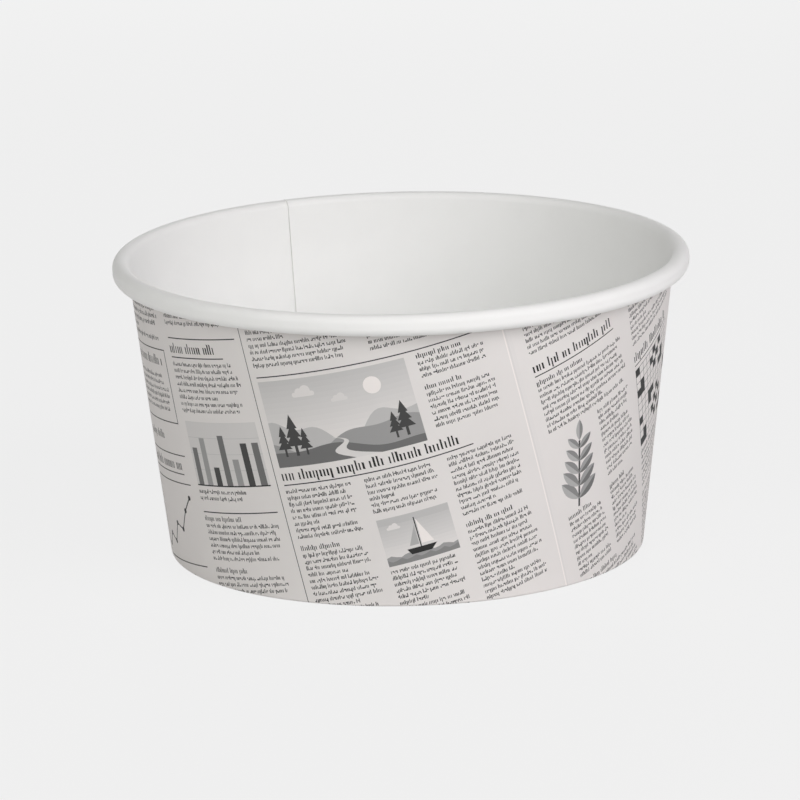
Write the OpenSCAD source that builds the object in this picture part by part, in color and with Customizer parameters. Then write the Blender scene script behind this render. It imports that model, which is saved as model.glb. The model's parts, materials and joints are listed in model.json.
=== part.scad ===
// Cardboard food bucket: one blank of coated board rolled into a leaning wall, its top edge rolled
// outwards into a rim and its lower edge folded in round the skirt of a separate base disc.
// Millimetres. Z is the bucket's axis, the foot stands on Z = 0 and the side lap runs up the +Y side.

/* [Bucket] */
// Diameter over the rolled rim
rim_d = 150; // [136:1:200]
// Diameter over the wall where it meets the table
foot_d = 124; // [90:1:136]
// Height from the table to the top of the rim
height = 78.5; // [50:0.5:140]
// Thickness of the coated board
board_t = 0.45; // [0.3:0.05:0.7]
// Height by which a bend stands proud of the flat board beside it
bead = 0.03; // [0.02:0.01:0.05]

/* [Rolled rim] */
// Width of the roll, from the inside of the wall to its outermost point
roll_w = 4.4; // [3.6:0.1:7]
// Straight height between the upper and the lower arc of the roll
roll_flat = 1.1; // [0.2:0.1:3]
// Gap between the cut edge of the roll and the wall
roll_gap = 0.15; // [0.1:0.05:0.3]

/* [Side lap] */
// Width of the board that lies double, measured at the foot
lap_w = 9; // [6:0.5:15]
// Width of the open channel beside the cut edge of the inner flap
channel_w = 1.2; // [0.8:0.1:2]
// Width over which the outer flap comes back to the round of the wall
return_w = 0.8; // [0.4:0.1:2]
// Distance by which the channel stops short of the base disc and of the lap's upper end
channel_stop = 2; // [1:0.5:6]

/* [Foot] */
// Height of the underside of the base disc above the table
recess = 8; // [6:0.5:16]
// Inside radius of the bend between the disc and its skirt
bend_r = 0.8; // [0.4:0.1:1.5]
// Distance from the cut edge of the hem to that bend
hem_clear = 0.7; // [0.4:0.1:2]
// Gap between the layers of the foot, which the seal film fills
seal_gap = 0.05; // [0.03:0.01:0.1]
// Depth by which the fold is pressed flat where it stands
foot_press = 0.06; // [0.03:0.01:0.12]

/* [Hidden] */
$fn = 96;

PRINTED_BOARD = [0.82, 0.80, 0.78];
WHITE_BOARD = [0.94, 0.94, 0.93];

// Far enough to reach past any section when cutting
far = rim_d;

// The roll is an upright rounded bar in section: two arcs of this radius, on these two centres
roll_r = roll_w / 2;
roll_x = rim_d / 2 - roll_r;
roll_top_z = height - roll_r;
roll_low_z = roll_top_z - roll_flat;

// The wall starts at the foot and runs up into the roll, whose arcs stand proud of its two faces by the bead
run = roll_x - foot_d / 2;
roll_out = roll_r - board_t - bead;
lean = acos(roll_out / norm([run, roll_top_z])) - atan2(roll_top_z, run);
wall_len = run * sin(lean) + roll_top_z * cos(lean);

// Place along the wall of a point at height z that lies x outside the wall's outer face
function along(x, z) = (z + x * sin(lean)) / cos(lean);

// Angle that a width measured at the foot takes up round the axis
function turn(width) = width / (foot_d / 2) * 180 / PI;

// The fold goes round the wall, the skirt and the hem, with its lowest part pressed flat
fold_w = 3 * board_t + 2 * seal_gap + bead;
fold_r = fold_w / 2;
fold_y = along(-fold_r, fold_r - foot_press);
hem_y = along(-fold_w, recess - bend_r - hem_clear);

// The bend of the base disc, whose skirt lies against the inside of the wall
skirt_x = -2 * board_t - seal_gap - bead;
bend_out = skirt_x + bead - bend_r;
bend_z = recess - bend_r;
bend_y = along(bend_out, bend_z);
bend_x = foot_d / 2 + bend_out * cos(lean) + bend_y * sin(lean);

// The room inside the skirt starts this far in, to meet the room under the disc whichever way the wall leans
skirt_room_x = bend_out - bend_r - board_t;

// The centres of the roll's arcs in the frame of the wall, and the direction from the lower one in which
// the roll's cut edge lies, so that its outer corner stays roll_gap away from the wall
roll_top = [roll_out, wall_len];
roll_low = roll_top + roll_flat * [sin(lean), -cos(lean)];
roll_end_a = 180 + acos((roll_low.x - roll_gap) / roll_r);
mouth_low_y = roll_low.y - roll_low.x * tan(roll_end_a);

// The side lap runs from the fold to just under the roll, and the channel is inside it
lap_top_y = along(0, roll_low_z - roll_r - roll_gap);
channel_low_y = along(-board_t, recess + board_t + channel_stop);
channel_top_y = lap_top_y - channel_stop;
inner_edge_a = 90;

// Depth by which the outer flap runs into the wall that it is sealed to
lap_root = board_t / 2;

// Draws in the frame of the wall: X out from its outer face, Y up along it
module along_wall() {
    translate([foot_d / 2, 0])
        rotate(-lean)
            children();
}

// A straight piece of board in the frame of the wall
module strip(x, thickness, low_y, top_y) {
    translate([x, low_y])
        square([thickness, top_y - low_y]);
}

// Two arcs and the straight sides between them
module rounded_bar(r) {
    translate([roll_x, roll_top_z])
        circle(r);
    translate([roll_x, roll_low_z])
        circle(r);
    translate([roll_x - r, roll_low_z])
        square([2 * r, roll_flat]);
}

// The wall, the hem and the fold between them, filled out to the fold's outer face
module wall_outside() {
    rounded_bar(roll_r);
    along_wall() {
        strip(-board_t, board_t, fold_y, wall_len);
        strip(-fold_w, fold_w, fold_y, hem_y);
        translate([-fold_r, fold_y])
            circle(fold_r);
    }
}

// The hollow of the roll with its mouth beside the wall, and the pocket for the skirt between wall and hem
module wall_hollows() {
    rounded_bar(roll_r - board_t);
    along_wall() {
        polygon([roll_top, [0, wall_len], [0, mouth_low_y], roll_low]);
        strip(board_t - fold_w, fold_w - 2 * board_t, fold_y, hem_y + board_t);
        translate([-fold_r, fold_y])
            circle(fold_r - board_t);
    }
}

module wall_section() {
    intersection() {
        difference() {
            wall_outside();
            wall_hollows();
        }
        square([far, height]);
    }
}

module base_section() {
    difference() {
        union() {
            translate([0, recess])
                square([bend_x, board_t]);
            along_wall()
                strip(skirt_x, board_t, fold_y, bend_y);
            translate([bend_x, bend_z])
                circle(bend_r + board_t);
        }
        square([bend_x, recess]);
        along_wall()
            strip(skirt_room_x, skirt_x - skirt_room_x, -far, bend_y);
        translate([bend_x, bend_z])
            circle(bend_r);
    }
}

// Turns a section of the wall round the axis between two angles
module sector(start, end) {
    rotate([0, 0, start])
        rotate_extrude(angle = end - start)
            children();
}

module side_wall() {
    color(PRINTED_BOARD)
        difference() {
            union() {
                rotate_extrude()
                    wall_section();
                sector(inner_edge_a - turn(lap_w), inner_edge_a + turn(channel_w + return_w))
                    along_wall()
                        strip(-lap_root, board_t + lap_root, fold_y, lap_top_y);
            }
            sector(inner_edge_a, inner_edge_a + turn(channel_w))
                along_wall()
                    strip(-2 * board_t, 2 * board_t, channel_low_y, channel_top_y);
        }
}

module base_disc() {
    color(WHITE_BOARD)
        rotate_extrude()
            base_section();
}

side_wall();
base_disc();
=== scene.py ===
# Cardboard food bucket: the skin of its board, with the rolled rim, the side lap, the folded foot and
# a printed wall, and the base disc. Sizes are millimetres, turned to metres where a mesh is made.
import json
import math
import random

import bpy
import numpy as np
from mathutils import Matrix, Vector
from mathutils.geometry import delaunay_2d_cdt

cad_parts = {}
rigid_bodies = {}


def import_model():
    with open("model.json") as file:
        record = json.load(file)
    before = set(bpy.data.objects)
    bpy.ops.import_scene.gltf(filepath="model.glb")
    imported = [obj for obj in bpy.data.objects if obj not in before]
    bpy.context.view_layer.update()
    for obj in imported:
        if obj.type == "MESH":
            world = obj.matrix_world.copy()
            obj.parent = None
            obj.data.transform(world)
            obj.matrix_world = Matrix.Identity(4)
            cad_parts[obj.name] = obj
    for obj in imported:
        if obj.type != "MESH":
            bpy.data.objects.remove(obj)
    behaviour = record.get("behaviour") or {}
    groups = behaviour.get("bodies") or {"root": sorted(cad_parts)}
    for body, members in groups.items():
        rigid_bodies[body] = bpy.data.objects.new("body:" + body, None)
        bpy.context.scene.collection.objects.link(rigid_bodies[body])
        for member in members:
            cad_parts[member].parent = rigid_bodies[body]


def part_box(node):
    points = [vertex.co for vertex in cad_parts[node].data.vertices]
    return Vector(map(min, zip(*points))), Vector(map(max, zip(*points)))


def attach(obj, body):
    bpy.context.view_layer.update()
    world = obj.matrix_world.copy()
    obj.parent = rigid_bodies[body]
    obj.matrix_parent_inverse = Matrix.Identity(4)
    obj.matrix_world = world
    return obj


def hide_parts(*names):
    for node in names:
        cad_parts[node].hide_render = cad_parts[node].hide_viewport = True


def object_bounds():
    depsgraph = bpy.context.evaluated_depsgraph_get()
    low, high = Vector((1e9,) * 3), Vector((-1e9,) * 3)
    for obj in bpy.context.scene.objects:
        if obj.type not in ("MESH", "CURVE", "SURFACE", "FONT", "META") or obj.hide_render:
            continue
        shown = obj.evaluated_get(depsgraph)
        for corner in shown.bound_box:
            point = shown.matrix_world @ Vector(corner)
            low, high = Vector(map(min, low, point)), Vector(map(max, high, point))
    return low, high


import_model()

cad_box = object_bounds()

# Driving sizes: the outer ones come from the frame, the others are those of the part's source
MM = 0.001
BOARD = 0.45
RIM_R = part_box("side_wall")[1].x / MM
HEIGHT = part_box("side_wall")[1].z / MM
FOOT_R = 62.0
ROLL_R = 2.2
ROLL_FLAT = 1.1
ROLL_GAP = 0.15
LAP_W = 9.0
RAMP_W = 7.0
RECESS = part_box("base_disc")[1].z / MM - BOARD
BEND_R = 0.8
HEM_CLEAR = 0.7
SEAL_GAP = 0.05
FOOT_PRESS = 0.06
LAP_ANGLE = math.radians(90)
FULL_TURN = 2 * math.pi

# The step at the lap's inner edge: where it starts above the base, the heights over which it rises and fades,
# the shares of it that are left where the roll begins and at the roll's outermost part, and the share that
# each row below that takes off
STEP_START = 0.3
STEP_RISE = 2.2
STEP_FADE = 7.0
STEP_AT_ROLL = 0.75
STEP_AT_EDGE = 0.1
EDGE_FADE = 0.02

# The lap on the outside: where it starts above the fold, and the heights over which it comes and goes
LAP_START = 0.5
LAP_RISE = 5.0
LAP_FADE = 2.5

# Rows of the skin over and under the roll, and those over which the step fades there
OVER_ROWS = 18
UNDER_ROWS = 16
FADE_FROM = 3
FADE_ROWS = 9

# Camera, fitted to the rim, the foot and the seam in the photograph
CAM_AZ = math.radians(-25.1)
CAM_EL = math.radians(14.06)
CAM_ROLL = math.radians(-1.38)
CAM_DIST = 1569.1
CAM_LENS = 269.9
AIM_RIGHT = -1.08
AIM_Z = 38.38

# The rim roll in section: two arcs on these centres, and the wall that runs up into them
roll_x = RIM_R - ROLL_R
roll_top_z = HEIGHT - ROLL_R
roll_low_z = roll_top_z - ROLL_FLAT
run = roll_x - FOOT_R
LEAN = math.acos((ROLL_R - BOARD) / math.hypot(run, roll_top_z)) - math.atan2(roll_top_z, run)
SIN = math.sin(LEAN)
COS = math.cos(LEAN)
wall_len = run * SIN + roll_top_z * COS
roll_low_x = ROLL_R - BOARD + ROLL_FLAT * SIN
roll_end = math.acos((roll_low_x - ROLL_GAP) / ROLL_R) - math.pi - LEAN


def wall_rz(x, y):
    """Radius and height of a point x out from the wall's outer face and y up along it."""
    return FOOT_R + x * COS + y * SIN, y * COS - x * SIN


def along(x, z):
    """Place along the wall of a point at height z that lies x outside its outer face."""
    return (z + x * SIN) / COS


def ease(x):
    """Smooth rise from 0 to 1."""
    x = np.clip(x, 0.0, 1.0)
    return x * x * (3 - 2 * x)


# The fold of the foot: an arc round wall, skirt and hem, pressed flat where it stands
fold_w = 3 * BOARD + 2 * SEAL_GAP
fold_r = fold_w / 2
fold_y = along(-fold_r, fold_r - FOOT_PRESS)
hem_y = along(-fold_w, RECESS - BEND_R - HEM_CLEAR)
press_angle = math.asin(1 - FOOT_PRESS / fold_r)
floor_y = along(-BOARD, RECESS + BOARD)

# Columns of the skin round the axis, from the cut edge of the inner flap
SEGMENTS = 144
lap_turn = LAP_W / FOOT_R
ramp_turn = RAMP_W / FOOT_R
edge_angle = LAP_ANGLE - lap_turn
even = np.arange(SEGMENTS) * FULL_TURN / SEGMENTS
columns = np.sort(np.append((even - lap_turn) % FULL_TURN, 0.0))
columns = np.append(columns, FULL_TURN)

# Print area of the wall: from the pressed flat, round the fold and up into the roll
print_low = fold_y - fold_r * (press_angle - LEAN)
print_high = wall_len
lap_top = along(0, roll_low_z - ROLL_R)

# Slots of the wall: the bare ground, an ink for each tone, the coated side and the cut edges. The tones were
# chosen beside a ground of BARE_TONE, and are scaled to the board's own ground
BARE_TONE = 0.65
GROUND_TONE = 0.75
TONES = [0.018, 0.05, 0.14, 0.21, 0.29, 0.37, 0.45, 0.49, 0.505, 0.52, 0.535, 0.55, 0.565, 0.58, 0.595, 0.61]
TONES += [0.625, 0.64, 0.74]
GROUND = 0
WHITE = len(TONES) + 1
RAW = len(TONES) + 2


class Skin:
    """Vertices, and faces that each hold a material, corner normals and corner places on the map."""

    def __init__(self):
        self.points = []
        self.faces = []
        self.normals = []
        self.places = []
        self.slots = []

    def add(self, points):
        first = len(self.points)
        self.points.extend(map(tuple, points))
        return list(range(first, len(self.points)))

    def face(self, ids, normals, places, slot, wound=False):
        """Adds a face, without doubled corners; one that isn't wound yet is turned to face its normals."""
        kept = [k for k in range(len(ids)) if ids[k] not in ids[:k]]
        if len(kept) < 3:
            return
        ids = [ids[k] for k in kept]
        normals = [normals[k] for k in kept]
        places = [places[k] for k in kept]
        spots = [Vector(self.points[i]) for i in ids[:3]]
        facing = (spots[1] - spots[0]).cross(spots[2] - spots[0])
        if not wound and facing.dot(Vector(normals[0])) < 0:
            ids.reverse()
            normals.reverse()
            places.reverse()
        self.faces.append(ids)
        self.normals.extend(map(tuple, normals))
        self.places.extend(map(tuple, places))
        self.slots.append(slot)

    def build(self, name, materials):
        mesh = bpy.data.meshes.new(name)
        mesh.from_pydata([tuple(c * MM for c in p) for p in self.points], [], self.faces)
        for material in materials:
            mesh.materials.append(material)
        mesh.polygons.foreach_set("material_index", self.slots)
        mesh.polygons.foreach_set("use_smooth", [True] * len(self.faces))
        layer = mesh.uv_layers.new(name="OFBake")
        layer.uv.foreach_set("vector", np.array(self.places, dtype=np.float32).ravel())
        mesh.normals_split_custom_set(self.normals)
        piece = bpy.data.objects.new(name, mesh)
        bpy.context.scene.collection.objects.link(piece)
        return piece


class Row:
    """One ring of the skin: its place in section, and the share of the lap's step that shows there."""

    def __init__(self, skin, r, z, step=0.0):
        self.r = r
        self.z = z
        self.step = step
        self.ids = None
        self.skin = skin

    def make(self, normal):
        """Adds the ring's vertices once, sunk against the normal beside the lap's inner edge."""
        if self.ids is not None:
            return
        sink = BOARD * self.step * (1 - ease(columns / ramp_turn))
        radius = self.r - sink * normal[0]
        height = self.z - sink * normal[1]
        angle = LAP_ANGLE + columns
        points = np.stack([radius * np.cos(angle), radius * np.sin(angle), height], axis=1)
        if self.step > 0:
            self.ids = self.skin.add(points)
        else:
            self.ids = self.skin.add(points[:-1])
            self.ids.append(self.ids[0])

    def normals(self, normal):
        """Normals round the ring, tilted where the step eases back into the round."""
        x = np.clip(columns / ramp_turn, 0.0, 1.0)
        slope = -6 * x * (1 - x) / ramp_turn
        tilt = BOARD * self.step * slope / max(self.r, 1.0)
        angle = LAP_ANGLE + columns
        out = np.stack([
            normal[0] * np.cos(angle) - tilt * np.sin(angle),
            normal[0] * np.sin(angle) + tilt * np.cos(angle),
            np.full(len(columns), normal[1]),
        ], axis=1)
        return out / np.linalg.norm(out, axis=1, keepdims=True)


# The map for baking: strips right across it, one above the other, with the lap's two cut edges beside them
MAP_MARGIN = 0.01
MAP_WIDTH = 0.98
MAP_SCALE = MAP_WIDTH / (FULL_TURN * RIM_R)
INNER_CUT_STRIP = (0.002, 0.006)
OUTER_CUT_STRIP = (0.995, 0.998)
CUT_SQUEEZE = 0.1
CUT_HEIGHT = 0.001
MAP_MIDDLE = 0.5


def map_place(turn, length, start):
    """Place on the map of a point at a turn round the axis and a length up its strip."""
    return MAP_MARGIN + MAP_WIDTH * turn / FULL_TURN, start + length * MAP_SCALE


def sweep(skin, rows, normals, slot, start):
    """Joins rows into one smooth strip round the axis; returns the height it takes on the map."""
    for row, normal in zip(rows, normals):
        row.make(normal)
    length = 0.0
    for low, high, n_low, n_high in zip(rows, rows[1:], normals, normals[1:]):
        reach = length + math.hypot(high.r - low.r, high.z - low.z)
        at_low = low.normals(n_low)
        at_high = high.normals(n_high)
        for k in range(len(columns) - 1):
            ids = [low.ids[k], low.ids[k + 1], high.ids[k + 1], high.ids[k]]
            corner_normals = [at_low[k], at_low[k + 1], at_high[k + 1], at_high[k]]
            corner_places = [
                map_place(columns[k], length, start),
                map_place(columns[k + 1], length, start),
                map_place(columns[k + 1], reach, start),
                map_place(columns[k], reach, start),
            ]
            skin.face(ids, corner_normals, corner_places, slot)
        length = reach
    return length * MAP_SCALE + MAP_MARGIN


def arc(centre_r, centre_z, radius, first, last, count):
    """Points of an arc in section and the directions from its centre."""
    angles = np.linspace(first, last, count)
    return [
        (centre_r + radius * math.cos(a), centre_z + radius * math.sin(a), (math.cos(a), math.sin(a)))
        for a in angles
    ]


def inwards(n):
    """The opposite direction in section."""
    return -n[0], -n[1]


# Directions of the wall's own frame in section
OUT = (COS, -SIN)
IN = (-COS, SIN)
UP = (SIN, COS)


# Print: shapes on a flat newsprint-like page, later rolled onto the wall
PAGE_TILT = math.radians(14)
apex = FOOT_R / SIN
page_mid = apex + wall_len / 2
front_turn = (CAM_AZ - math.pi / 2 - edge_angle) % FULL_TURN


def page_to_wall(page):
    """Turn from the lap's outer edge and place along the wall of points on the flat page."""
    x = page[:, 0] * math.cos(PAGE_TILT) - page[:, 1] * math.sin(PAGE_TILT)
    y = page[:, 0] * math.sin(PAGE_TILT) + page[:, 1] * math.cos(PAGE_TILT) + page_mid
    turn = np.arctan2(x, y) / SIN + front_turn
    return turn, np.hypot(x, y) - apex


def band_y(page_x):
    """Height on the page of the middle of the wall at a place across the page."""
    fan_half = 0.45
    samples = 400
    a = np.linspace(-fan_half, fan_half, samples)
    x = page_mid * np.sin(a)
    y = page_mid * (np.cos(a) - 1)
    across = x * math.cos(PAGE_TILT) + y * math.sin(PAGE_TILT)
    return float(np.interp(page_x, across, y * math.cos(PAGE_TILT) - x * math.sin(PAGE_TILT)))


def ink(tone):
    """Slot of the ink that is nearest to a tone."""
    return 1 + min(range(len(TONES)), key=lambda k: abs(TONES[k] - tone))


BLACK = ink(0.018)
DARK = ink(0.05)
PALE = ink(0.74)

# Sizes of the type and of ruled lines on the page. A weight and a pace are shares of the size
TYPE_SIZE = 0.78
TYPE_PITCH = 1.75
TYPE_WEIGHT = 0.29
TYPE_PACE = (0.42, 0.58)
SIDE_TYPE_SIZE = 0.92
SIDE_TYPE_PITCH = 2.0
SUBHEAD_SIZE = 1.0
SUBHEAD_WEIGHT = 0.26
SUBHEAD_PACE = (0.46, 0.58)
HEADING_SIZE = 1.9
HEADING_WEIGHT = 0.24
HEADING_PACE = (0.42, 0.54)
LINE_W = 0.3
THIN_LINE_W = 0.2
GUTTER = 3.0
NARROW_GUTTER = 2.5


class Page:
    """Collects flat shapes, each with the slot of its ink. A later shape covers an earlier one."""

    def __init__(self, seed):
        self.rng = random.Random(seed)
        self.shapes = []
        self.pictures = [self.boat, self.chart, self.graph, self.weather]
        self.pictures += [self.balloon, self.landscape, self.sprig, self.notice]
        self.rng.shuffle(self.pictures)

    def shape(self, slot, points, longest=3.0):
        """Adds an outline, its long sides split so that they bend with the wall."""
        split = []
        for a, b in zip(points, points[1:] + points[:1]):
            count = max(1, math.ceil(math.dist(a, b) / longest))
            for k in range(count):
                split.append((a[0] + (b[0] - a[0]) * k / count, a[1] + (b[1] - a[1]) * k / count))
        self.shapes.append((slot, split))

    def box(self, slot, x0, y0, x1, y1):
        self.shape(slot, [(x0, y0), (x1, y0), (x1, y1), (x0, y1)])

    def disc(self, slot, x, y, r, count=18):
        turns = [k * FULL_TURN / count for k in range(count)]
        self.shape(slot, [(x + r * math.cos(a), y + r * math.sin(a)) for a in turns])

    def line(self, slot, a, b, width):
        dx, dy = b[0] - a[0], b[1] - a[1]
        half = width / 2 / math.hypot(dx, dy)
        side = (-dy * half, dx * half)
        self.shape(slot, [
            (a[0] + side[0], a[1] + side[1]), (b[0] + side[0], b[1] + side[1]),
            (b[0] - side[0], b[1] - side[1]), (a[0] - side[0], a[1] - side[1]),
        ])

    def frame(self, slot, x0, y0, x1, y1, width):
        self.box(slot, x0, y0, x1, y0 + width)
        self.box(slot, x0, y1 - width, x1, y1)
        self.box(slot, x0, y0 + width, x0 + width, y1 - width)
        self.box(slot, x1 - width, y0 + width, x1, y1 - width)

    def stroke(self, slot, x, base, size, wide):
        """One stroke of small type: by lot a tall, a hanging, a slanted, a short or a plain one."""
        rng = self.rng
        kind = rng.random()
        low = base
        top = base + size
        slant = 0.0
        if kind < 0.18:
            top += size * 0.45
        elif kind < 0.25:
            low -= size * 0.4
        elif kind < 0.4:
            slant = size * rng.choice((-0.15, 0.15))
        elif kind < 0.6:
            low += size * rng.choice((0.0, 0.52))
            top = low + size * 0.46
            wide *= 1.6
        foot = x - slant
        head = x + slant
        self.shape(slot, [(foot, low), (foot + wide, low), (head + wide, top), (head, top)])

    def minim(self, slot, x, base, size, wide):
        """One bold stem, with a foot that points right and a head that points left."""
        kind = self.rng.random()
        low = base - size * (0.4 if kind > 0.93 else 0.0)
        top = base + size * (1.45 if kind < 0.24 else 1.0)
        self.shape(slot, [
            (x, low + 0.3 * wide), (x + 1.2 * wide, low), (x + wide, low + 0.6 * wide),
            (x + wide, top - 0.3 * wide), (x - 0.2 * wide, top), (x, top - 0.6 * wide),
        ])

    def words(self, draw, slot, x, base, end, size, weight, pace):
        """A row of strokes in groups: the look of a line of type, with no letters in it."""
        rng = self.rng
        while x < end - size:
            for _ in range(rng.randint(3, 11)):
                step = size * rng.uniform(*pace)
                if x + step > end:
                    break
                draw(slot, x, base, size, weight * size * rng.uniform(0.8, 1.2))
                x += step
            x += size * 0.5

    def paragraph(self, x, y, w, lines, size=TYPE_SIZE, pitch=TYPE_PITCH):
        """Lines of small type, ragged on the right, in passages of a few lines."""
        rng = self.rng
        left = rng.randint(4, 9)
        for k in range(lines):
            left -= 1
            end = x + w * rng.uniform(0.88, 1.0)
            if left == 0:
                end = x + w * rng.uniform(0.3, 0.7)
                left = rng.randint(4, 9)
            self.words(self.stroke, DARK, x, y - size - k * pitch, end, size, TYPE_WEIGHT, TYPE_PACE)
        return lines * pitch

    def subhead(self, x, y, w):
        self.words(self.minim, BLACK, x, y - 1.2, x + w, SUBHEAD_SIZE, SUBHEAD_WEIGHT, SUBHEAD_PACE)
        return 2.2

    def heading(self, x, y, w, size=HEADING_SIZE, line=True):
        base = y - size * 1.5
        self.words(self.minim, BLACK, x, base, x + w, size, HEADING_WEIGHT, HEADING_PACE)
        if line:
            self.box(BLACK, x, base - size * 0.5 - LINE_W, x + w, base - size * 0.5)
        return size * 2 + 1.6

    def rule(self, x, y, w):
        self.box(BLACK, x, y - 1 - LINE_W, x + w, y - 1)
        return 2 + LINE_W

    def hills(self, slot, x, y, w, h, waves):
        """Rolling ground: its top edge is a sum of waves, each a height, a length and a phase."""
        count = max(8, int(w / 1.2))
        top = []
        for k in range(count + 1):
            t = k / count
            rise = sum(a * math.sin(FULL_TURN * (t * n + p)) for a, n, p in waves)
            top.append((x + w * t, y + h * (0.6 + rise)))
        self.shape(slot, [(x, y), (x + w, y)] + top[::-1])

    def sky(self, x, y0, y1, w, low_tone, high_tone):
        bands = 1 + abs(ink(low_tone) - ink(high_tone))
        for k in range(bands):
            tone = low_tone + (high_tone - low_tone) * k / max(1, bands - 1)
            self.box(ink(tone), x, y0 + (y1 - y0) * k / bands, x + w, y0 + (y1 - y0) * (k + 1) / bands)

    def cloud(self, slot, x, y, r):
        end_r = 0.4 * r
        self.box(slot, x - 1.5 * r, y - 0.5 * r, x + 1.6 * r, y - 0.5 * r + 2 * end_r)
        self.disc(slot, x - 1.5 * r, y - 0.5 * r + end_r, end_r, 12)
        self.disc(slot, x + 1.6 * r, y - 0.5 * r + end_r, end_r, 12)
        self.disc(slot, x - 0.6 * r, y + 0.25 * r, 0.7 * r)
        self.disc(slot, x + 0.5 * r, y + 0.45 * r, 0.9 * r)

    def stream(self, slot, x, y, w, h):
        """A stream that winds down from a point and widens as it comes nearer."""
        bends = 14
        banks = ([], [])
        for k in range(bends + 1):
            t = k / bends
            middle = x + w * (0.5 * t + 0.22 * math.sin(FULL_TURN * 1.1 * t) * (0.35 + t))
            half = w * (0.02 + 0.26 * t * t)
            for bank, side in zip(banks, (-1, 1)):
                bank.append((middle + side * half, y - h * t ** 1.4))
        self.shape(slot, banks[0] + banks[1][::-1])

    def tree(self, x, y, h):
        self.box(DARK, x - h * 0.04, y, x + h * 0.04, y + h * 0.4)
        for k in range(3):
            low = y + h * (0.25 + 0.22 * k)
            half = h * (0.26 - 0.06 * k)
            self.shape(DARK, [(x - half, low), (x + half, low), (x, low + h * 0.36)])

    def landscape(self, x, y, w, h):
        low = y - h
        self.sky(x, low + h * 0.3, y, w, 0.64, 0.49)
        self.disc(PALE, x + w * 0.76, low + h * 0.78, h * 0.1, 24)
        self.cloud(ink(0.64), x + w * 0.3, low + h * 0.82, h * 0.07)
        self.cloud(ink(0.61), x + w * 0.53, low + h * 0.7, h * 0.05)
        self.hills(ink(0.45), x, low, w, h * 0.62, [(0.22, 1.3, 0.1), (0.12, 2.7, 0.3)])
        self.hills(ink(0.29), x, low, w, h * 0.44, [(0.25, 0.9, 0.55), (0.1, 2.1, 0.2)])
        self.hills(ink(0.14), x, low, w, h * 0.22, [(0.3, 0.7, 0.05), (0.12, 1.9, 0.4)])
        self.stream(ink(0.61), x + w * 0.42, low + h * 0.27, w * 0.3, h * 0.27)
        for place, tall in ((0.08, 0.34), (0.16, 0.46), (0.23, 0.3), (0.83, 0.3), (0.9, 0.4)):
            self.tree(x + w * place, low + h * 0.12, h * tall)
        return h + 1.2

    def boat(self, x, y, w, h):
        low = y - h
        mid = x + w * 0.5
        self.sky(x, low + h * 0.1, y, w, 0.64, 0.45)
        self.cloud(ink(0.64), x + w * 0.2, low + h * 0.78, h * 0.07)
        self.hills(ink(0.29), x, low, w, h * 0.3, [(0.1, 4, 0.0)])
        self.hills(ink(0.21), x, low, w, h * 0.17, [(0.18, 5, 0.3)])
        hull = [(-0.2, 0.27), (-0.15, 0.15), (0.13, 0.15), (0.22, 0.27)]
        self.shape(BLACK, [(mid + w * a, low + h * b) for a, b in hull])
        self.line(BLACK, (mid, low + h * 0.27), (mid, low + h * 0.9), LINE_W)
        jib = [(0.02, 0.33), (0.19, 0.33), (0.02, 0.86)]
        self.shape(PALE, [(mid + w * a, low + h * b) for a, b in jib])
        sail = [(-0.02, 0.33), (-0.15, 0.33), (-0.02, 0.74)]
        self.shape(ink(0.37), [(mid + w * a, low + h * b) for a, b in sail])
        return h + 1.2

    def chart(self, x, y, w, h):
        low = y - h
        self.box(ink(0.565), x, low, x + w, y)
        for k in range(1, 4):
            self.box(ink(0.45), x, low + h * k / 4 - 0.06, x + w, low + h * k / 4 + 0.06)
        count = 7
        for k in range(count):
            tall = h * (0.2 + 0.6 * abs(math.sin(1.3 * k + 0.7)))
            left = x + w * (k + 0.25) / count
            self.box(ink((0.14, 0.29, 0.05)[k % 3]), left, low, left + w * 0.55 / count, low + tall)
        self.box(BLACK, x, low - 0.2, x + w, low + 0.15)
        return h + 1.4

    def graph(self, x, y, w, h):
        low = y - h
        self.box(BLACK, x, low, x + LINE_W, y)
        self.box(BLACK, x, low, x + w, low + LINE_W)
        heights = (0.15, 0.32, 0.24, 0.5, 0.44, 0.7, 0.88)
        spots = [(x + w * (k + 0.4) / len(heights), low + h * t) for k, t in enumerate(heights)]
        for a, b in zip(spots, spots[1:]):
            self.line(DARK, a, b, 0.45)
        for spot in spots:
            self.disc(BLACK, *spot, 0.7, 10)
        return h + 1.4

    def crossword(self, x, y, w, cells):
        cell = w / cells
        for k in range(cells + 1):
            self.box(DARK, x + k * cell - 0.08, y - w, x + k * cell + 0.08, y)
            self.box(DARK, x, y - k * cell - 0.08, x + w, y - k * cell + 0.08)
        for row in range(cells):
            for column in range(cells):
                if (row * 5 + column * 3 + row * column) % 7 < 2:
                    left = x + column * cell
                    top = y - row * cell
                    self.box(BLACK, left, top - cell, left + cell, top)
        return w + 1.4

    def leaf(self, x, y, length, a, tones):
        """A leaf from its stalk: two halves in two tones."""
        ax = (math.cos(a), math.sin(a))
        for side, tone in zip((1, -1), tones):
            rim = []
            for k in range(1, 8):
                t = k / 8
                out = side * 0.2 * length * math.sin(math.pi * t) ** 0.8
                rim.append((x + length * t * ax[0] - out * ax[1], y + length * t * ax[1] + out * ax[0]))
            tip = (x + length * ax[0], y + length * ax[1])
            self.shape(ink(tone), [(x, y)] + rim + [tip])

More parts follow.
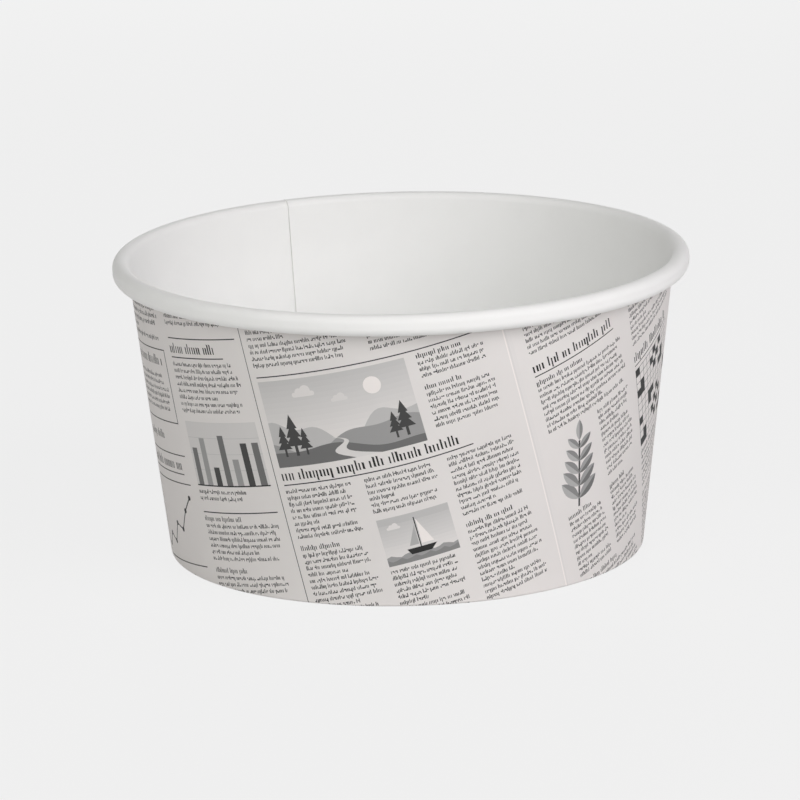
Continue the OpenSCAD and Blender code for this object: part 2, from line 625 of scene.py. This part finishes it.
    def sprig(self, x, y, w, h):
        """A leafy twig with no frame round it."""
        foot = (x + w * 0.3, y - h)
        tip = (x + w * 0.62, y - h * 0.2)
        self.line(DARK, foot, tip, 0.6)
        rise = math.atan2(tip[1] - foot[1], tip[0] - foot[0])
        for k in range(5):
            t = 0.12 + 0.19 * k
            spot = (foot[0] + (tip[0] - foot[0]) * t, foot[1] + (tip[1] - foot[1]) * t)
            size = h * (0.36 - 0.03 * k)
            self.leaf(*spot, size, rise + 0.85, (0.37, 0.21))
            self.leaf(*spot, size, rise - 0.85, (0.29, 0.14))
        self.leaf(*tip, h * 0.26, rise, (0.37, 0.21))
        return h + 1.0

    def weather(self, x, y, w, h):
        """A sun, a cloud and a shower in a row."""
        mid = y - h / 2
        r = h * 0.2
        sun = x + w * 0.18
        self.disc(ink(0.21), sun, mid, r)
        for k in range(8):
            a = k * FULL_TURN / 8
            near = (sun + 1.35 * r * math.cos(a), mid + 1.35 * r * math.sin(a))
            far = (sun + 1.95 * r * math.cos(a), mid + 1.95 * r * math.sin(a))
            self.line(ink(0.21), near, far, 0.4)
        for place, tone in ((0.5, 0.37), (0.82, 0.14)):
            self.cloud(ink(tone), x + w * place, mid, r)
        for k in range(4):
            drop = x + w * 0.82 + (k - 1.5) * 0.7 * r
            self.line(ink(0.21), (drop, mid - 0.8 * r), (drop - 0.4 * r, mid - 1.9 * r), 0.35)
        return h + 1.0

    def balloon(self, x, y, w, h):
        low = y - h
        mid = x + w * 0.52
        r = min(w, h) * 0.3
        top = y - r - h * 0.1
        self.sky(x, low, y, w, 0.64, 0.52)
        self.hills(ink(0.37), x, low, w, h * 0.24, [(0.2, 1.1, 0.2), (0.1, 2.3, 0.5)])
        neck = [(-0.8, -0.6), (0.8, -0.6), (0.2, -1.6), (-0.2, -1.6)]
        self.shape(ink(0.21), [(mid + r * a, top + r * b) for a, b in neck])
        turns = np.linspace(0, FULL_TURN, 24, endpoint=False)
        for wide, tone in ((1.0, 0.21), (0.55, 0.52), (0.2, 0.05)):
            self.shape(ink(tone), [(mid + r * wide * math.cos(a), top + r * math.sin(a)) for a in turns])
        self.box(BLACK, mid - r * 0.22, top - r * 2.1, mid + r * 0.22, top - r * 1.7)
        return h + 1.2

    def notice(self, x, y, w, h):
        """A framed box with a bold line and a few small ones."""
        inset = 1.6
        self.frame(BLACK, x, y - h, x + w, y, LINE_W)
        fall = inset + self.heading(x + inset, y - inset, w - 2 * inset, HEADING_SIZE, False)
        self.paragraph(x + inset, y - fall, w - 2 * inset, int((h - fall - 1.2) / TYPE_PITCH))
        return h + 1.4

    def passage(self, x, y, w, lines, size=TYPE_SIZE, pitch=TYPE_PITCH):
        fall = self.subhead(x, y, w * self.rng.uniform(0.4, 0.7))
        return fall + self.paragraph(x, y - fall, w, lines, size, pitch) + 1.2

    def next_picture(self):
        """Deals the pictures round in one shuffled order: none comes again before all the others have."""
        self.pictures.append(self.pictures.pop(0))
        return self.pictures[-1]

    def column(self, x, w, top, bottom):
        """Fills a column with passages, headings and small pictures, drawn by lot."""
        rng = self.rng
        y = top
        last = None
        while y > bottom:
            lot = rng.random()
            if lot < 0.34 and last != "picture":
                y -= self.next_picture()(x, y, w, w * rng.uniform(0.6, 0.85)) + 1.2
                last = "picture"
            elif lot < 0.6 and last != "heading":
                wide = w * rng.uniform(0.6, 0.95)
                size = rng.choice((1.6, HEADING_SIZE))
                y -= self.heading(x, y, wide, size, rng.random() < 0.6)
                last = "heading"
            elif lot < 0.68 and last != "rule":
                y -= self.rule(x, y, w)
                last = "rule"
            else:
                y -= self.passage(x, y, w, rng.randint(5, 12), SIDE_TYPE_SIZE, SIDE_TYPE_PITCH)
                last = "text"


# Start of the lot by which the strokes, and the columns of the sides and the back, are drawn
SEED = 15


def lay_out():
    """The page round the whole wall: the front laid out one by one, the rest by lot."""
    page = Page(SEED)
    reach = 46.0
    side_w = 27.0
    spacing = 31.0
    left_x = -64.0
    right_x = 104.0

    x, w = left_x, side_w
    y = band_y(x + w / 2) + reach
    y -= page.paragraph(x, y, w, 8) + 1.5
    y -= page.rule(x, y, w)
    y -= page.heading(x, y, w * 0.8)
    y -= page.paragraph(x, y, w, 8) + 1.5
    y -= page.chart(x, y, w, 17)
    y -= page.paragraph(x, y, w * 0.7, 2) + 1.2
    y -= page.rule(x, y, w)
    y -= page.passage(x, y, w, 6)
    page.passage(x, y, w, 10)
    line_x = x + w + 1.9
    page.box(DARK, line_x, band_y(x + w) - reach, line_x + THIN_LINE_W, band_y(x + w) + reach)

    x, w = -33.0, 62.0
    y = band_y(x + w / 2) + reach
    half = (w - GUTTER) / 2
    page.paragraph(x, y, half, 9)
    y -= page.paragraph(x + half + GUTTER, y, half, 9) + 0.6
    y -= page.rule(x, y, w)
    picture_w = 40.0
    side_x = x + picture_w + GUTTER
    side = w - picture_w - GUTTER
    page.landscape(x, y, picture_w, 23)
    y -= page.passage(side_x, y, side, 3)
    y -= page.passage(side_x, y, side, 6) + 1.0
    y -= page.heading(x, y, w * 0.82, 2.0)
    third = (w - 2 * GUTTER) / 3
    for k in range(3):
        left = x + k * (third + GUTTER)
        if k == 1:
            fall = page.paragraph(left, y, third, 6) + 1.0
            fall += page.boat(left, y - fall, third, 13)
            page.paragraph(left, y - fall, third, 12)
        else:
            fall = page.paragraph(left, y, third, 8 + k) + 1.2
            page.passage(left, y - fall, third, 12)

    fold_x = 33.0
    low, top = band_y(fold_x) - reach, band_y(fold_x) + reach
    page.box(PALE, fold_x - 0.35, low, fold_x, top)
    page.box(ink(0.61), fold_x, low, fold_x + 0.5, top)
    page.box(ink(0.64), fold_x + 0.5, low, fold_x + 1.6, top)

    x, w = 38.0, 30.0
    y = band_y(x + w / 2) + reach
    y -= page.paragraph(x, y, w, 8) + 1.5
    y -= page.heading(x, y, w * 0.9)
    y -= page.passage(x, y, w, 8)
    half = (w - NARROW_GUTTER) / 2
    page.paragraph(x + half + NARROW_GUTTER, y, half, 12)
    y -= page.sprig(x, y, half, 22)
    page.passage(x + half + NARROW_GUTTER, y, half, 10)
    y -= page.passage(x, y, half, 10)
    page.passage(x, y, w, 12)

    x, w = 72.0, 28.0
    y = band_y(x + w / 2) + reach
    y -= page.paragraph(x, y, w, 10) + 1.5
    y -= page.heading(x, y, w * 0.8)
    y -= page.crossword(x, y, 24.0, 11)
    y -= page.passage(x, y, w, 6)
    page.passage(x, y, w, 16)

    beyond = reach + 8
    for x in [left_x - spacing * k for k in range(1, 6)] + [right_x + spacing * k for k in range(5)]:
        middle = band_y(x + side_w / 2)
        page.column(x, side_w, middle + beyond, middle - beyond)
    return page.shapes


def clipped(shape, axis, limit, sign):
    """Cuts a flat shape along one line of the print area."""
    out = []
    for k, here in enumerate(shape):
        before = shape[k - 1]
        d0 = sign * (before[axis] - limit)
        d1 = sign * (here[axis] - limit)
        if d0 * d1 < 0:
            t = d0 / (d0 - d1)
            out.append((before[0] + (here[0] - before[0]) * t, before[1] + (here[1] - before[1]) * t))
        if d1 >= 0:
            out.append(here)
    return out


def from_open_side(outline, limits):
    """Starts an outline on a side that isn't a cut, where its inside is plain, and drops doubled points."""
    near = 1e-3
    outline = [p for k, p in enumerate(outline) if math.dist(p, outline[k - 1]) > near]
    for k, here in enumerate(outline):
        before = outline[k - 1]
        if all(abs(before[a] - at) > near or abs(here[a] - at) > near for a, at, _ in limits):
            return outline[k - 1:] + outline[:k - 1] if k else [before] + outline[:-1]
    return outline


def lap_rise(turn):
    """Share of the board's thickness by which the lap lifts the outer face."""
    return 1 - ease((turn - lap_turn) / ramp_turn)


def lap_fade(place):
    """The lap is pressed flat at the foot and under the roll."""
    return ease((place - fold_y - LAP_START) / LAP_RISE) * ease((lap_top - place) / LAP_FADE)


def outer_face(turn, place):
    """Point of the wall's outer face, round the fold at its lower end."""
    a = np.minimum(place - fold_y, 0.0) / fold_r - LEAN
    r, z = wall_rz(-fold_r, np.maximum(place, fold_y))
    out = fold_r + BOARD * lap_rise(turn) * lap_fade(place)
    angle = edge_angle + turn
    radius = r + out * np.cos(a)
    return np.stack([radius * np.cos(angle), radius * np.sin(angle), z + out * np.sin(a)], axis=-1)


def outer_normal(turn, place):
    d = 1e-3
    round_it = outer_face(np.minimum(turn + d, FULL_TURN), place) - outer_face(np.maximum(turn - d, 0), place)
    up_it = outer_face(turn, place + d) - outer_face(turn, place - d)
    n = np.cross(round_it, up_it)
    return n / np.linalg.norm(n, axis=-1, keepdims=True)


def print_mesh():
    """Cuts the print area into triangles along all its shapes and along the skin's columns."""
    ref = FOOT_R
    width = FULL_TURN * ref
    margin = 0.02
    least_area = 0.004
    hair = 1e-6
    merge = 1e-4
    inside_only = 1
    shapes = lay_out()
    turns, places = page_to_wall(np.array([p for _, points in shapes for p in points]))
    flat = list(zip((turns * ref).tolist(), places.tolist()))
    spots = [(0.0, print_low), (width, print_low), (width, print_high), (0.0, print_high)]
    ink_top = lap_top + 1
    limits = [(1, print_low + margin, 1), (1, ink_top, -1), (0, margin, 1), (0, width - margin, -1)]
    faces = [[0, 1, 2, 3]]
    slots = [GROUND]
    first = 0
    for slot, points in shapes:
        outline = flat[first:first + len(points)]
        first += len(points)
        for limit in limits:
            outline = clipped(outline, *limit)
        area = sum(a[0] * b[1] - b[0] * a[1] for a, b in zip(outline, outline[1:] + outline[:1])) / 2
        if abs(area) < least_area:
            continue
        if area < 0:
            outline.reverse()
        outline = from_open_side(outline, limits)
        faces.append(list(range(len(spots), len(spots) + len(outline))))
        spots.extend(outline)
        slots.append(slot)
    lines = []
    for turn in (columns[:-1] + lap_turn) % FULL_TURN:
        if hair < turn < FULL_TURN - hair:
            lines.append(((turn * ref, print_low), (turn * ref, print_high)))
    # Levels round the fold, where the lap comes, a few between, and where it goes
    levels = list(np.linspace(print_low, fold_y, 6)[1:]) + list(np.linspace(fold_y + 1, fold_y + 6, 6))
    levels += list(np.linspace(14, lap_top - 5, 4)) + list(np.linspace(lap_top - LAP_FADE, lap_top, 5))
    for level in levels:
        lines.append(((0.0, level), (width, level)))
    edges = []
    for a, b in lines:
        edges.append((len(spots), len(spots) + 1))
        spots.extend((a, b))
    found = delaunay_2d_cdt([Vector(s) for s in spots], edges, faces, inside_only, merge, True)
    spots = np.array([tuple(v) for v in found[0]], dtype=float)
    triangles = []
    inks = []
    for triangle, owners in zip(found[2], found[5]):
        if 0 in owners:
            triangles.append(triangle)
            inks.append(slots[max(owners)])
    return spots / (ref, 1.0), triangles, inks


def add_print(skin, low_row, high_row, start):
    """Rolls the print onto the wall between two rows and closes the cut edge of the outer flap."""
    spots, triangles, inks = print_mesh()
    turn, place = spots[:, 0], spots[:, 1]
    points = outer_face(turn, place)
    normals = outer_normal(turn, place)
    near = 1e-4
    row_turns = (columns[:-1] + lap_turn) % FULL_TURN
    ids = [None] * len(spots)
    left = {}
    right = {}
    for k in range(len(spots)):
        for row, level in ((low_row, print_low), (high_row, print_high)):
            if abs(place[k] - level) < near:
                gap = np.abs((row_turns - turn[k] + math.pi) % FULL_TURN - math.pi)
                ids[k] = row.ids[int(np.argmin(gap))]
        if ids[k] is None:
            if turn[k] > FULL_TURN - near and lap_fade(place[k]) < 1e-9:
                continue
            ids[k] = skin.add([points[k]])[0]
        if turn[k] < near:
            left[round(place[k], 3)] = k
        if turn[k] > FULL_TURN - near:
            right[round(place[k], 3)] = k
    for k in range(len(spots)):
        if ids[k] is None:
            ids[k] = ids[left[round(place[k], 3)]]
            right[round(place[k], 3)] = k
    map_places = [map_place(t, p - print_low, start) for t, p in zip(turn, place)]
    for triangle, slot in zip(triangles, inks):
        corner_normals = [normals[k] for k in triangle]
        corner_places = [map_places[k] for k in triangle]
        skin.face([ids[k] for k in triangle], corner_normals, corner_places, slot, True)
    facing = (math.sin(edge_angle), -math.cos(edge_angle), 0.0)
    near_x, far_x = OUTER_CUT_STRIP
    across = (near_x, far_x, far_x, near_x)
    levels = sorted(left)
    for low, high in zip(levels, levels[1:]):
        corners = [left[low], right[low], right[high], left[high]]
        corner_places = [(x, map_places[k][1]) for k, x in zip(corners, across)]
        skin.face([ids[k] for k in corners], [facing] * 4, corner_places, RAW)


def wall_step(y):
    """Share of the lap's step that shows on the inside at a place along the wall."""
    rise = ease((y - floor_y - STEP_START) / STEP_RISE)
    fade = ease((y - wall_len + STEP_FADE) / STEP_FADE)
    return float(rise * (1 - (1 - STEP_AT_ROLL) * fade))


def roll_step(row):
    """Share of the lap's step that shows at a row over the roll."""
    return STEP_AT_ROLL - (STEP_AT_ROLL - STEP_AT_EDGE) * float(ease((row - FADE_FROM) / FADE_ROWS))


def wall_skin():
    """The side wall as one closed skin: foot, pocket, lining, rolled rim, and the printed face between."""
    skin = Skin()
    start = MAP_MARGIN

    fold_mid_r, fold_mid_z = wall_rz(-fold_r, fold_y)
    flat_low = Row(skin, fold_mid_r + fold_r * math.cos(press_angle), 0.0)
    flat_in = Row(skin, fold_mid_r - fold_r * math.cos(press_angle), 0.0)
    start += sweep(skin, [flat_low, flat_in], [(0, -1), (0, -1)], GROUND, start)
    bend = arc(fold_mid_r, fold_mid_z, fold_r, press_angle - math.pi, -math.pi - LEAN, 7)
    hem = [wall_rz(-fold_w, y) for y in np.linspace(fold_y, hem_y, 5)[1:]]
    rows = [flat_in] + [Row(skin, r, z) for r, z, _ in bend[1:]] + [Row(skin, r, z) for r, z in hem]
    start += sweep(skin, rows, [n for _, _, n in bend] + [IN] * len(hem), GROUND, start)
    hem_top = Row(skin, *wall_rz(BOARD - fold_w, hem_y))
    start += sweep(skin, [rows[-1], hem_top], [UP, UP], RAW, start)
    pocket = arc(fold_mid_r, fold_mid_z, fold_r - BOARD, math.pi - LEAN, FULL_TURN - LEAN, 9)
    rows = [hem_top] + [Row(skin, r, z) for r, z, _ in pocket]
    start += sweep(skin, rows, [OUT] + [inwards(n) for _, _, n in pocket], WHITE, start)

    levels = [hem_y, floor_y] + [floor_y + d for d in (0.4, 0.9, 1.4, 2.0, 2.6)]
    levels += list(np.linspace(floor_y + 6, wall_len - STEP_FADE, 9))
    levels += [wall_len - d for d in (5.2, 3.5, 1.8, 0.0)]
    lining = [(*wall_rz(-BOARD, y), IN, wall_step(y)) for y in levels]
    over = arc(roll_x, roll_top_z, ROLL_R, math.pi - LEAN, 0.0, OVER_ROWS)
    under = arc(roll_x, roll_low_z, ROLL_R, 0.0, roll_end, UNDER_ROWS)
    lining += [(r, z, n, roll_step(k)) for k, (r, z, n) in enumerate(over) if k]
    lining += [(r, z, n, max(0.0, STEP_AT_EDGE - EDGE_FADE * k)) for k, (r, z, n) in enumerate(under)]
    rows = [rows[-1]] + [Row(skin, r, z, step) for r, z, _, step in lining]
    start += sweep(skin, rows, [IN] + [n for _, _, n, _ in lining], WHITE, start)
    facing = (-math.sin(LAP_ANGLE), math.cos(LAP_ANGLE), 0.0)
    near_x, far_x = INNER_CUT_STRIP
    for low, high in zip(rows, rows[1:]):
        corners = [low.ids[0], low.ids[-1], high.ids[-1], high.ids[0]]
        level = start + (high.z - fold_y) * MAP_SCALE * CUT_SQUEEZE
        top = level + CUT_HEIGHT
        places = [(near_x, level), (far_x, level), (far_x, top), (near_x, top)]
        skin.face(corners, [facing] * 4, places, RAW)

    hollow = arc(roll_x, roll_low_z, ROLL_R - BOARD, roll_end, 0.0, 8)
    hollow += arc(roll_x, roll_top_z, ROLL_R - BOARD, 0.0, math.pi - LEAN, 9)
    tip = Row(skin, hollow[0][0], hollow[0][1])
    end_n = (math.sin(roll_end), -math.cos(roll_end))
    start += sweep(skin, [rows[-1], tip], [end_n, end_n], RAW, start)
    rows = [tip] + [Row(skin, r, z) for r, z, _ in hollow[1:]]
    start += sweep(skin, rows, [inwards(n) for _, _, n in hollow], GROUND, start)

    add_print(skin, flat_low, rows[-1], start)
    return skin


def base_skin():
    """The base disc as one closed skin: floor, bend and skirt."""
    skin = Skin()
    bend_out = -2 * BOARD - SEAL_GAP - BEND_R
    bend_z = RECESS - BEND_R
    bend_y = along(bend_out, bend_z)
    bend_r = wall_rz(bend_out, bend_y)[0]
    start = MAP_MARGIN
    radii = np.append(0.5, np.linspace(6, bend_r, 10))
    outer = arc(bend_r, bend_z, BEND_R + BOARD, math.pi / 2, -LEAN, 10)
    skirt = [wall_rz(-BOARD - SEAL_GAP, y) for y in np.linspace(bend_y, fold_y, 5)[1:]]
    top = [(r, RECESS + BOARD, (0, 1)) for r in radii[:-1]] + outer + [(r, z, OUT) for r, z in skirt]
    rows = [Row(skin, r, z) for r, z, _ in top]
    start += sweep(skin, rows, [n for _, _, n in top], 0, start)
    cut = Row(skin, *wall_rz(-2 * BOARD - SEAL_GAP, fold_y))
    down = (-SIN, -COS)
    start += sweep(skin, [rows[-1], cut], [down, down], 1, start)
    inner = arc(bend_r, bend_z, BEND_R, -LEAN, math.pi / 2, 8)
    back = [(*wall_rz(-2 * BOARD - SEAL_GAP, y), IN) for y in np.linspace(fold_y, bend_y, 5)[1:-1]]
    back += [(r, z, inwards(n)) for r, z, n in inner] + [(r, RECESS, (0, -1)) for r in radii[-2::-1]]
    under = [cut] + [Row(skin, r, z) for r, z, _ in back]
    sweep(skin, under, [IN] + [n for _, _, n in back], 2, start)
    for row, normal in ((rows[0], (0, 0, 1)), (under[-1], (0, 0, -1))):
        middle = skin.add([(0.0, 0.0, row.z)])[0]
        for k in range(len(columns) - 1):
            places = [map_place(columns[k], 0.0, MAP_MIDDLE)] * 3
            skin.face([row.ids[k], row.ids[k + 1], middle], [normal] * 3, places, 0 if normal[2] > 0 else 2)
    return skin


def new_material(name):
    material = bpy.data.materials.new(name)
    material.use_nodes = True
    nodes = material.node_tree.nodes
    return material, nodes, material.node_tree.links, nodes["Principled BSDF"]


def noise(nodes, links, coords, scale, detail):
    node = nodes.new("ShaderNodeTexNoise")
    node.inputs["Scale"].default_value = scale
    node.inputs["Detail"].default_value = detail
    links.new(coords.outputs["Object"], node.inputs["Vector"])
    return node


# Looks of the board and the inks: the tooth's scale, strength, depth and spread of roughness, the gloss, the
# inks' roughness, and the warmth that the palest ink has from the ground
TOOTH_SCALE = 1600.0
TOOTH_STRENGTH = 0.25
TOOTH_DEPTH = 0.05
TOOTH_SPREAD = 0.06
BOARD_GLOSS = 0.12
INK_GLOSS = 0.25
INK_ROUGH = 0.6
WARM_RED = 0.035
WARM_BLUE = 0.017


def add_tooth(nodes, links, coords, shader, rough, depth=TOOTH_DEPTH):
    """Fine tooth of the board: a bump, and a roughness that follows it."""
    grain = noise(nodes, links, coords, TOOTH_SCALE, 3.0)
    spread = nodes.new("ShaderNodeMapRange")
    spread.inputs["To Min"].default_value = rough - TOOTH_SPREAD
    spread.inputs["To Max"].default_value = rough + TOOTH_SPREAD
    links.new(grain.outputs["Fac"], spread.inputs["Value"])
    links.new(spread.outputs["Result"], shader.inputs["Roughness"])
    bump = nodes.new("ShaderNodeBump")
    bump.inputs["Strength"].default_value = TOOTH_STRENGTH
    bump.inputs["Distance"].default_value = depth * MM
    links.new(grain.outputs["Fac"], bump.inputs["Height"])
    links.new(bump.outputs["Normal"], shader.inputs["Normal"])


def board_material(name, light, dark, rough, cloud_scale, depth=TOOTH_DEPTH):
    """Board whose tone drifts a little over its surface."""
    material, nodes, links, shader = new_material(name)
    coords = nodes.new("ShaderNodeTexCoord")
    clouds = noise(nodes, links, coords, cloud_scale, 4.0)
    ramp = nodes.new("ShaderNodeValToRGB")
    ramp.color_ramp.elements[0].position = 0.35
    ramp.color_ramp.elements[0].color = (*dark, 1.0)
    ramp.color_ramp.elements[1].position = 0.65
    ramp.color_ramp.elements[1].color = (*light, 1.0)
    links.new(clouds.outputs["Fac"], ramp.inputs["Fac"])
    links.new(ramp.outputs["Color"], shader.inputs["Base Color"])
    shader.inputs["Specular IOR Level"].default_value = BOARD_GLOSS
    add_tooth(nodes, links, coords, shader, rough, depth)
    return material


def ink_material(name, tone):
    """Matt ink: the paler it is, the more of the ground's warmth shows through."""
    material, nodes, links, shader = new_material(name)
    coords = nodes.new("ShaderNodeTexCoord")
    warmth = (tone / GROUND_TONE) ** 3
    colour = (tone * (1 + WARM_RED * warmth), tone, tone * (1 - WARM_BLUE * warmth), 1.0)
    shader.inputs["Base Color"].default_value = colour
    shader.inputs["Specular IOR Level"].default_value = INK_GLOSS
    add_tooth(nodes, links, coords, shader, INK_ROUGH)
    return material


coated = board_material("coated_board", (0.918, 0.92, 0.912), (0.906, 0.908, 0.90), 0.5, 90.0)
raw_edge = board_material("cut_board_edge", (0.86, 0.855, 0.84), (0.78, 0.775, 0.76), 0.8, 900.0, 0.1)
uncoated = board_material("uncoated_board", (0.83, 0.825, 0.80), (0.80, 0.795, 0.77), 0.75, 90.0)
ground = board_material("printed_ground", (0.785, 0.759, 0.746), (0.767, 0.741, 0.728), 0.58, 70.0)
inks = [ink_material(f"print_ink_{k + 1}", tone * GROUND_TONE / BARE_TONE) for k, tone in enumerate(TONES)]

bucket_wall = wall_skin().build("bucket_wall", [ground] + inks + [coated, raw_edge])
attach(bucket_wall, "root")
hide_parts("side_wall")

bucket_base = base_skin().build("bucket_base", [coated, raw_edge, uncoated])
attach(bucket_base, "root")
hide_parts("base_disc")


# Stage: a pale floor, a world that is a little brighter overhead than round the horizon, soft lamps
FLOOR_SIZE = 8.0
FLOOR_DROP = 0.0001
FLOOR_GREY = 0.8
FLOOR_GLOW = 0.90
GLOW_SHARE = 0.9
BACKDROP = 0.863
HORIZON = (0.1, 0.1, 0.098, 1.0)
OVERHEAD = (0.2, 0.2, 0.196, 1.0)
LAMP_DIST = 1.5
LAMP_SIZE = 1.1
BACK_LAMP_SIZE = 0.3


def pale_rays(nodes, links):
    """1 for rays that should see the plain backdrop: camera, gloss and glass."""
    path = nodes.new("ShaderNodeLightPath")
    first = nodes.new("ShaderNodeMath")
    first.operation = "MAXIMUM"
    links.new(path.outputs["Is Camera Ray"], first.inputs[0])
    links.new(path.outputs["Is Glossy Ray"], first.inputs[1])
    second = nodes.new("ShaderNodeMath")
    second.operation = "MAXIMUM"
    links.new(first.outputs["Value"], second.inputs[0])
    links.new(path.outputs["Is Transmission Ray"], second.inputs[1])
    return second


def floor_material():
    material = bpy.data.materials.new("pale_floor")
    material.use_nodes = True
    nodes = material.node_tree.nodes
    links = material.node_tree.links
    nodes.clear()
    diffuse = nodes.new("ShaderNodeBsdfDiffuse")
    diffuse.inputs["Color"].default_value = (FLOOR_GREY, FLOOR_GREY, FLOOR_GREY, 1.0)
    glow = nodes.new("ShaderNodeEmission")
    glow.inputs["Color"].default_value = (FLOOR_GLOW, FLOOR_GLOW, FLOOR_GLOW, 1.0)
    share = nodes.new("ShaderNodeMath")
    share.operation = "MULTIPLY"
    share.inputs[1].default_value = GLOW_SHARE
    links.new(pale_rays(nodes, links).outputs["Value"], share.inputs[0])
    mix = nodes.new("ShaderNodeMixShader")
    links.new(share.outputs["Value"], mix.inputs["Fac"])
    links.new(diffuse.outputs["BSDF"], mix.inputs[1])
    links.new(glow.outputs["Emission"], mix.inputs[2])
    output = nodes.new("ShaderNodeOutputMaterial")
    links.new(mix.outputs["Shader"], output.inputs["Surface"])
    return material


floor_mesh = bpy.data.meshes.new("floor")
floor_half = FLOOR_SIZE / 2
floor_z = cad_box[0].z - FLOOR_DROP
floor_corners = [(-1, -1), (1, -1), (1, 1), (-1, 1)]
floor_spots = [(x * floor_half, y * floor_half, floor_z) for x, y in floor_corners]
floor_mesh.from_pydata(floor_spots, [], [(0, 1, 2, 3)])
floor_mesh.materials.append(floor_material())
floor = bpy.data.objects.new("floor", floor_mesh)
bpy.context.scene.collection.objects.link(floor)

world = bpy.data.worlds.new("studio")
bpy.context.scene.world = world
world.use_nodes = True
world_nodes = world.node_tree.nodes
world_links = world.node_tree.links
world_nodes.clear()
sky_coords = world_nodes.new("ShaderNodeTexCoord")
sky_split = world_nodes.new("ShaderNodeSeparateXYZ")
world_links.new(sky_coords.outputs["Generated"], sky_split.inputs["Vector"])
sky_ramp = world_nodes.new("ShaderNodeValToRGB")
sky_ramp.color_ramp.elements[0].position = 0.0
sky_ramp.color_ramp.elements[0].color = HORIZON
sky_ramp.color_ramp.elements[1].position = 1.0
sky_ramp.color_ramp.elements[1].color = OVERHEAD
world_links.new(sky_split.outputs["Z"], sky_ramp.inputs["Fac"])
sky_light = world_nodes.new("ShaderNodeBackground")
world_links.new(sky_ramp.outputs["Color"], sky_light.inputs["Color"])
sky_pale = world_nodes.new("ShaderNodeBackground")
sky_pale.inputs["Color"].default_value = (BACKDROP, BACKDROP, BACKDROP, 1.0)
sky_mix = world_nodes.new("ShaderNodeMixShader")
world_links.new(pale_rays(world_nodes, world_links).outputs["Value"], sky_mix.inputs["Fac"])
world_links.new(sky_light.outputs["Background"], sky_mix.inputs[1])
world_links.new(sky_pale.outputs["Background"], sky_mix.inputs[2])
sky_out = world_nodes.new("ShaderNodeOutputWorld")
world_links.new(sky_mix.outputs["Shader"], sky_out.inputs["Surface"])


def direction(azimuth, elevation):
    """Unit direction from the bucket, with azimuth 0 towards -Y and growing towards +X."""
    return Vector((
        math.sin(azimuth) * math.cos(elevation),
        -math.cos(azimuth) * math.cos(elevation),
        math.sin(elevation),
    ))


aim = Vector((math.cos(CAM_AZ), math.sin(CAM_AZ), 0.0)) * AIM_RIGHT * MM + Vector((0, 0, AIM_Z * MM))


def softbox(name, azimuth, elevation, distance, size, level, colour):
    """A square lamp, aimed at the bucket, whose level is the share of white that it gives a facing card."""
    data = bpy.data.lights.new(name, "AREA")
    data.shape = "SQUARE"
    data.size = size
    data.energy = level * (math.pi * distance) ** 2
    data.color = colour
    lamp = bpy.data.objects.new(name, data)
    back = direction(CAM_AZ + math.radians(azimuth), math.radians(elevation))
    lamp.location = aim + back * distance
    lamp.rotation_euler = back.to_track_quat("Z", "Y").to_euler()
    lamp.visible_camera = False
    bpy.context.scene.collection.objects.link(lamp)
    return lamp


softbox("key", 50, 30, LAMP_DIST, LAMP_SIZE, 0.54, (1.0, 0.965, 0.99))
softbox("front", -10, 33, LAMP_DIST, LAMP_SIZE, 0.36, (0.975, 0.99, 0.955))
softbox("side", -75, 10, LAMP_DIST, LAMP_SIZE, 0.185, (1.0, 0.96, 0.94))
softbox("back", 180, 5, LAMP_DIST, BACK_LAMP_SIZE, 0.6, (1.0, 1.0, 0.99)).visible_glossy = False

camera_data = bpy.data.cameras.new("camera")
camera_data.sensor_width = 36.0
camera_data.lens = CAM_LENS
camera_data.clip_end = 50.0
camera = bpy.data.objects.new("camera", camera_data)
camera_back = direction(CAM_AZ, CAM_EL)
camera.location = aim + camera_back * CAM_DIST * MM
camera_turn = camera_back.to_track_quat("Z", "Y").to_matrix() @ Matrix.Rotation(CAM_ROLL, 3, "Z")
camera.rotation_euler = camera_turn.to_euler()
bpy.context.scene.collection.objects.link(camera)
bpy.context.scene.camera = camera
bpy.context.scene.view_settings.view_transform = "Standard"
